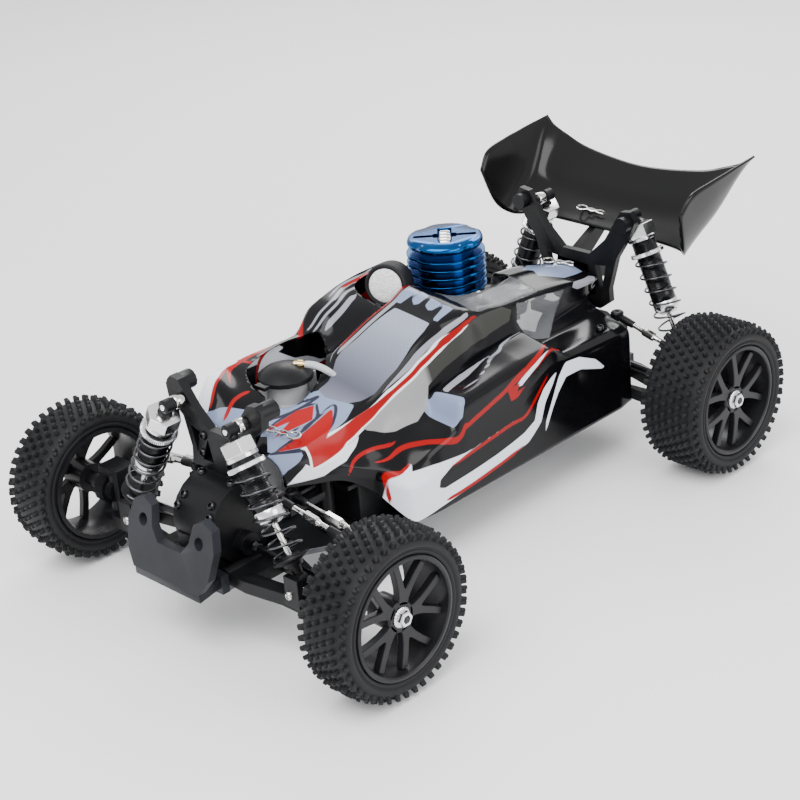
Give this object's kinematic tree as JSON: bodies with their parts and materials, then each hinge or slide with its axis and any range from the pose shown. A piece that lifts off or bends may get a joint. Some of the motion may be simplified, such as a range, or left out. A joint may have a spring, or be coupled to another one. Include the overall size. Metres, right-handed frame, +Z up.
{
  "type": "rc buggy",
  "caption": "Four-wheel-drive nitro radio-controlled buggy with independent suspension, coil-over shocks, steering, exposed engine, fuel tank and a high rear wing.",
  "frame": {"origin": "centre of the bounding box's base, on the ground between the wheels", "axes": "-Y towards the nose, +X towards the car's left side, +Z up"},
  "size_m": [0.258, 0.3913, 0.1582],
  "materials": {
    "black_plastic": "moulded satin",
    "grey_plastic": "moulded satin",
    "rubber": "matt",
    "silver": "machined",
    "steel": "polished",
    "dark_steel": "gloss black",
    "shell": "painted from the inside, gloss",
    "wing": "painted, gloss",
    "blue_metal": "anodised",
    "tank": "translucent",
    "foam": "foam"
  },
  "bodies": {
    "chassis": {"chassis_plate": "grey_plastic", "front_gearbox": "black_plastic", "rear_gearbox": "black_plastic", "front_shock_tower": "black_plastic", "rear_shock_tower": "black_plastic", "front_bumper": "grey_plastic", "body_shell": "shell", "rear_wing": "wing", "engine_block": "silver", "cylinder_head": "blue_metal", "fuel_tank": "tank", "air_filter": "foam", "exhaust_pipe": "silver", "radio_box": "black_plastic", "steering_servo": "black_plastic"},
    "front_left_arm": {"front_left_arm": "black_plastic"},
    "front_left_hub_carrier": {"front_left_hub_carrier": "black_plastic"},
    "front_left_wheel": {"front_left_rim": "black_plastic", "front_left_tyre": "rubber"},
    "front_left_knuckle": {"front_left_knuckle": "black_plastic"},
    "front_left_camber_link": {"front_left_camber_link": "steel"},
    "front_left_shock_body": {"front_left_shock_body": "dark_steel", "front_left_spring": "dark_steel"},
    "front_left_shock_shaft": {"front_left_shock_shaft": "silver"},
    "front_left_drive_shaft": {"front_left_drive_shaft": "dark_steel"},
    "front_right_arm": {"front_right_arm": "black_plastic"},
    "front_right_hub_carrier": {"front_right_hub_carrier": "black_plastic"},
    "front_right_wheel": {"front_right_rim": "black_plastic", "front_right_tyre": "rubber"},
    "front_right_knuckle": {"front_right_knuckle": "black_plastic"},
    "front_right_camber_link": {"front_right_camber_link": "steel"},
    "front_right_shock_body": {"front_right_shock_body": "dark_steel", "front_right_spring": "dark_steel"},
    "front_right_shock_shaft": {"front_right_shock_shaft": "silver"},
    "front_right_drive_shaft": {"front_right_drive_shaft": "dark_steel"},
    "rear_left_arm": {"rear_left_arm": "black_plastic"},
    "rear_left_hub": {"rear_left_hub": "black_plastic"},
    "rear_left_wheel": {"rear_left_rim": "black_plastic", "rear_left_tyre": "rubber"},
    "rear_left_camber_link": {"rear_left_camber_link": "steel"},
    "rear_left_shock_body": {"rear_left_shock_body": "dark_steel", "rear_left_spring": "dark_steel"},
    "rear_left_shock_shaft": {"rear_left_shock_shaft": "silver"},
    "rear_left_drive_shaft": {"rear_left_drive_shaft": "dark_steel"},
    "rear_right_arm": {"rear_right_arm": "black_plastic"},
    "rear_right_hub": {"rear_right_hub": "black_plastic"},
    "rear_right_wheel": {"rear_right_rim": "black_plastic", "rear_right_tyre": "rubber"},
    "rear_right_camber_link": {"rear_right_camber_link": "steel"},
    "rear_right_shock_body": {"rear_right_shock_body": "dark_steel", "rear_right_spring": "dark_steel"},
    "rear_right_shock_shaft": {"rear_right_shock_shaft": "silver"},
    "rear_right_drive_shaft": {"rear_right_drive_shaft": "dark_steel"},
    "bellcrank": {"bellcrank": "black_plastic"},
    "drag_link": {"drag_link": "black_plastic"},
    "left_tie_rod": {"left_tie_rod": "steel"},
    "right_tie_rod": {"right_tie_rod": "steel"},
    "spur_gear": {"spur_gear": "dark_steel"},
    "clutch_bell": {"clutch_bell": "silver"},
    "fuel_tank_lid": {"fuel_tank_lid": "black_plastic"}
  },
  "joints": [
    {"name": "front_left_suspension", "type": "hinge", "parent": "chassis", "child": "front_left_arm", "pos_m": [0.02, -0.152, 0.036], "axis": [0, -1, 0], "range_deg": [0, 16], "stiffness_Nm_per_rad": 1.1, "springref_deg": -37.24},
    {"name": "front_left_hub_pivot", "type": "hinge", "parent": "front_left_arm", "child": "front_left_hub_carrier", "pos_m": [0.076, -0.152, 0.033], "axis": [0, -1, 0], "range_deg": [-24, 0.5]},
    {"name": "left_steering", "type": "hinge", "parent": "front_left_hub_carrier", "child": "front_left_knuckle", "pos_m": [0.088, -0.152, 0.0437], "axis": [0, 0, 1], "range_deg": [-25, 25]},
    {"name": "front_left_wheel_spin", "type": "hinge", "parent": "front_left_knuckle", "child": "front_left_wheel", "pos_m": [0.1135, -0.152, 0.0437], "axis": [1, 0, 0], "continuous": true},
    {"name": "front_left_link_pivot", "type": "hinge", "parent": "chassis", "child": "front_left_camber_link", "pos_m": [0.03, -0.14, 0.071], "axis": [0, -1, 0], "range_deg": [-0.5, 20]},
    {"name": "front_left_shock_swing", "type": "hinge", "parent": "chassis", "child": "front_left_shock_body", "pos_m": [0.0237, -0.1585, 0.1135], "axis": [0, -1, 0], "range_deg": [-0.5, 3]},
    {"name": "front_left_shock_slide", "type": "slide", "parent": "front_left_shock_body", "child": "front_left_shock_shaft", "axis": [0.5071, 0, -0.8619], "range_m": [-0.0145, 0.0005], "deforming": ["front_left_spring"]},
    {"name": "front_left_drive_shaft_swing", "type": "hinge", "parent": "chassis", "child": "front_left_drive_shaft", "pos_m": [0.02, -0.152, 0.047], "axis": [0, -1, 0], "range_deg": [-0.5, 19]},
    {"name": "front_right_suspension", "type": "hinge", "parent": "chassis", "child": "front_right_arm", "pos_m": [-0.02, -0.152, 0.036], "axis": [0, 1, 0], "range_deg": [0, 16], "stiffness_Nm_per_rad": 1.1, "springref_deg": -37.24},
    {"name": "front_right_hub_pivot", "type": "hinge", "parent": "front_right_arm", "child": "front_right_hub_carrier", "pos_m": [-0.076, -0.152, 0.033], "axis": [0, 1, 0], "range_deg": [-24, 0.5]},
    {"name": "right_steering", "type": "hinge", "parent": "front_right_hub_carrier", "child": "front_right_knuckle", "pos_m": [-0.088, -0.152, 0.0437], "axis": [0, 0, 1], "range_deg": [-25, 25]},
    {"name": "front_right_wheel_spin", "type": "hinge", "parent": "front_right_knuckle", "child": "front_right_wheel", "pos_m": [-0.1135, -0.152, 0.0437], "axis": [1, 0, 0], "continuous": true},
    {"name": "front_right_link_pivot", "type": "hinge", "parent": "chassis", "child": "front_right_camber_link", "pos_m": [-0.03, -0.14, 0.071], "axis": [0, 1, 0], "range_deg": [-0.5, 20]},
    {"name": "front_right_shock_swing", "type": "hinge", "parent": "chassis", "child": "front_right_shock_body", "pos_m": [-0.0237, -0.1585, 0.1135], "axis": [0, 1, 0], "range_deg": [-0.5, 3]},
    {"name": "front_right_shock_slide", "type": "slide", "parent": "front_right_shock_body", "child": "front_right_shock_shaft", "axis": [-0.5071, 0, -0.8619], "range_m": [-0.0145, 0.0005], "deforming": ["front_right_spring"]},
    {"name": "front_right_drive_shaft_swing", "type": "hinge", "parent": "chassis", "child": "front_right_drive_shaft", "pos_m": [-0.02, -0.152, 0.047], "axis": [0, 1, 0], "range_deg": [-0.5, 19]},
    {"name": "rear_left_suspension", "type": "hinge", "parent": "chassis", "child": "rear_left_arm", "pos_m": [0.02, 0.124, 0.036], "axis": [0, -1, 0], "range_deg": [0, 16], "stiffness_Nm_per_rad": 1.1, "springref_deg": -37.24},
    {"name": "rear_left_hub_pivot", "type": "hinge", "parent": "rear_left_arm", "child": "rear_left_hub", "pos_m": [0.074, 0.124, 0.033], "axis": [0, -1, 0], "range_deg": [-24, 0.5]},
    {"name": "rear_left_wheel_spin", "type": "hinge", "parent": "rear_left_hub", "child": "rear_left_wheel", "pos_m": [0.0987, 0.124, 0.0437], "axis": [1, 0, 0], "continuous": true},
    {"name": "rear_left_link_pivot", "type": "hinge", "parent": "chassis", "child": "rear_left_camber_link", "pos_m": [0.0295, 0.127, 0.073], "axis": [0, -1, 0], "range_deg": [-0.5, 20]},
    {"name": "rear_left_shock_swing", "type": "hinge", "parent": "chassis", "child": "rear_left_shock_body", "pos_m": [0.0322, 0.1415, 0.1304], "axis": [0, -1, 0], "range_deg": [-0.5, 3]},
    {"name": "rear_left_shock_slide", "type": "slide", "parent": "rear_left_shock_body", "child": "rear_left_shock_shaft", "axis": [0.3932, 0, -0.9195], "range_m": [-0.0145, 0.0005], "deforming": ["rear_left_spring"]},
    {"name": "rear_left_drive_shaft_swing", "type": "hinge", "parent": "chassis", "child": "rear_left_drive_shaft", "pos_m": [0.02, 0.124, 0.047], "axis": [0, -1, 0], "range_deg": [-0.5, 19]},
    {"name": "rear_right_suspension", "type": "hinge", "parent": "chassis", "child": "rear_right_arm", "pos_m": [-0.02, 0.124, 0.036], "axis": [0, 1, 0], "range_deg": [0, 16], "stiffness_Nm_per_rad": 1.1, "springref_deg": -37.24},
    {"name": "rear_right_hub_pivot", "type": "hinge", "parent": "rear_right_arm", "child": "rear_right_hub", "pos_m": [-0.074, 0.124, 0.033], "axis": [0, 1, 0], "range_deg": [-24, 0.5]},
    {"name": "rear_right_wheel_spin", "type": "hinge", "parent": "rear_right_hub", "child": "rear_right_wheel", "pos_m": [-0.0987, 0.124, 0.0437], "axis": [1, 0, 0], "continuous": true},
    {"name": "rear_right_link_pivot", "type": "hinge", "parent": "chassis", "child": "rear_right_camber_link", "pos_m": [-0.0295, 0.127, 0.073], "axis": [0, 1, 0], "range_deg": [-0.5, 20]},
    {"name": "rear_right_shock_swing", "type": "hinge", "parent": "chassis", "child": "rear_right_shock_body", "pos_m": [-0.0322, 0.1415, 0.1304], "axis": [0, 1, 0], "range_deg": [-0.5, 3]},
    {"name": "rear_right_shock_slide", "type": "slide", "parent": "rear_right_shock_body", "child": "rear_right_shock_shaft", "axis": [-0.3932, 0, -0.9195], "range_m": [-0.0145, 0.0005], "deforming": ["rear_right_spring"]},
    {"name": "rear_right_drive_shaft_swing", "type": "hinge", "parent": "chassis", "child": "rear_right_drive_shaft", "pos_m": [-0.02, 0.124, 0.047], "axis": [0, 1, 0], "range_deg": [-0.5, 19]},
    {"name": "bellcrank_turn", "type": "hinge", "parent": "chassis", "child": "bellcrank", "pos_m": [0.018, -0.098, 0.056], "axis": [0, 0, 1], "range_deg": [-26, 26]},
    {"name": "drag_link_slide", "type": "slide", "parent": "chassis", "child": "drag_link", "axis": [-1, 0, 0], "range_m": [-0.0105, 0.0105]},
    {"name": "left_tie_rod_swing", "type": "hinge", "parent": "drag_link", "child": "left_tie_rod", "pos_m": [0.02, -0.122, 0.06], "axis": [0, -1, 0], "range_deg": [-0.5, 14]},
    {"name": "right_tie_rod_swing", "type": "hinge", "parent": "drag_link", "child": "right_tie_rod", "pos_m": [-0.02, -0.122, 0.06], "axis": [0, 1, 0], "range_deg": [-0.5, 14]},
    {"name": "centre_shaft_spin", "type": "hinge", "parent": "chassis", "child": "spur_gear", "pos_m": [0, 0.0075, 0.047], "axis": [0, 1, 0], "continuous": true},
    {"name": "clutch_bell_spin", "type": "hinge", "parent": "chassis", "child": "clutch_bell", "pos_m": [-0.0261, 0.0075, 0.047], "axis": [0, 1, 0], "continuous": true},
    {"name": "tank_lid_hinge", "type": "hinge", "parent": "chassis", "child": "fuel_tank_lid", "pos_m": [-0.027, -0.061, 0.0975], "axis": [-1, 0, 0], "range_deg": [0, 80], "stiffness_Nm_per_rad": 0.02, "springref_deg": -22.92}
  ],
  "couplings": [
    {"joint": "front_left_hub_pivot", "follows": "front_left_suspension", "ratio": -1.223},
    {"joint": "front_left_link_pivot", "follows": "front_left_suspension", "ratio": 1.1097},
    {"joint": "front_left_shock_swing", "follows": "front_left_suspension", "ratio": 0.13911},
    {"joint": "front_left_shock_slide", "follows": "front_left_suspension", "m_per_rad": -0.04358},
    {"joint": "front_left_drive_shaft_swing", "follows": "front_left_suspension", "ratio": 0.911},
    {"joint": "front_right_hub_pivot", "follows": "front_right_suspension", "ratio": -1.223},
    {"joint": "front_right_link_pivot", "follows": "front_right_suspension", "ratio": 1.1097},
    {"joint": "front_right_shock_swing", "follows": "front_right_suspension", "ratio": 0.13911},
    {"joint": "front_right_shock_slide", "follows": "front_right_suspension", "m_per_rad": -0.04358},
    {"joint": "front_right_drive_shaft_swing", "follows": "front_right_suspension", "ratio": 0.911},
    {"joint": "rear_left_hub_pivot", "follows": "rear_left_suspension", "ratio": -1.4732},
    {"joint": "rear_left_link_pivot", "follows": "rear_left_suspension", "ratio": 1.1287},
    {"joint": "rear_left_shock_swing", "follows": "rear_left_suspension", "ratio": 0.10154},
    {"joint": "rear_left_shock_slide", "follows": "rear_left_suspension", "m_per_rad": -0.04938},
    {"joint": "rear_left_drive_shaft_swing", "follows": "rear_left_suspension", "ratio": 1.071},
    {"joint": "rear_right_hub_pivot", "follows": "rear_right_suspension", "ratio": -1.4732},
    {"joint": "rear_right_link_pivot", "follows": "rear_right_suspension", "ratio": 1.1287},
    {"joint": "rear_right_shock_swing", "follows": "rear_right_suspension", "ratio": 0.10154},
    {"joint": "rear_right_shock_slide", "follows": "rear_right_suspension", "m_per_rad": -0.04938},
    {"joint": "rear_right_drive_shaft_swing", "follows": "rear_right_suspension", "ratio": 1.071},
    {"joint": "right_steering", "follows": "left_steering", "ratio": 1},
    {"joint": "bellcrank_turn", "follows": "left_steering", "ratio": -1},
    {"joint": "drag_link_slide", "follows": "left_steering", "m_per_rad": 0.0232},
    {"joint": "left_tie_rod_swing", "follows": "front_left_suspension", "ratio": 0.7675},
    {"joint": "right_tie_rod_swing", "follows": "front_right_suspension", "ratio": 0.7675},
    {"joint": "clutch_bell_spin", "follows": "centre_shaft_spin", "ratio": -2.2222}
  ]
}
